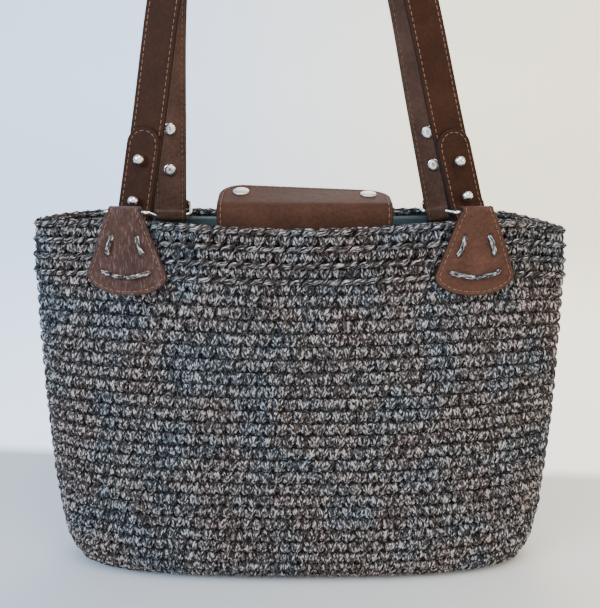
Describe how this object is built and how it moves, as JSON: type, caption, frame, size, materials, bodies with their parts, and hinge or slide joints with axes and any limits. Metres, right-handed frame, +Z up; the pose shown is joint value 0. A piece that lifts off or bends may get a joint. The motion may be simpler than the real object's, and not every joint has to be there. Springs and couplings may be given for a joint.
{
  "type": "crocheted handbag",
  "caption": "Crocheted melange yarn handbag with leather tabs, wire rings, two studded shoulder straps and a leather closing flap.",
  "frame": {"origin": "centre of the flat base, on the surface that the bag stands on", "axes": "+X along the bag's width to its right as seen from the front, +Y to the back, +Z up towards the straps"},
  "size_m": [0.4022, 0.1142, 0.553],
  "materials": {
    "melange_yarn": "thick matt melange yarn, black, grey and white",
    "satin_lining": "satin, dull teal",
    "flap_leather": "satin brown leather, stitched edge",
    "tab_leather": "satin brown leather, stitched edge",
    "strap_leather": "satin dark brown leather, stitched edge",
    "polished_metal": "polished nickel"
  },
  "bodies": {
    "root": {"body": "melange_yarn", "lining": "satin_lining", "flap": "flap_leather", "rivet_left": "polished_metal", "rivet_right": "polished_metal", "tab_front_left": "tab_leather", "tab_front_right": "tab_leather", "tab_back_left": "tab_leather", "tab_back_right": "tab_leather", "ring_front_left": "polished_metal", "ring_front_right": "polished_metal", "ring_back_left": "polished_metal", "ring_back_right": "polished_metal", "strap_front": "strap_leather", "strap_back": "strap_leather", "stud_front_left_low": "polished_metal", "stud_front_left_high": "polished_metal", "stud_front_right_low": "polished_metal", "stud_front_right_high": "polished_metal", "stud_back_left_low": "polished_metal", "stud_back_left_high": "polished_metal", "stud_back_right_low": "polished_metal", "stud_back_right_high": "polished_metal"}
  },
  "joints": []
}
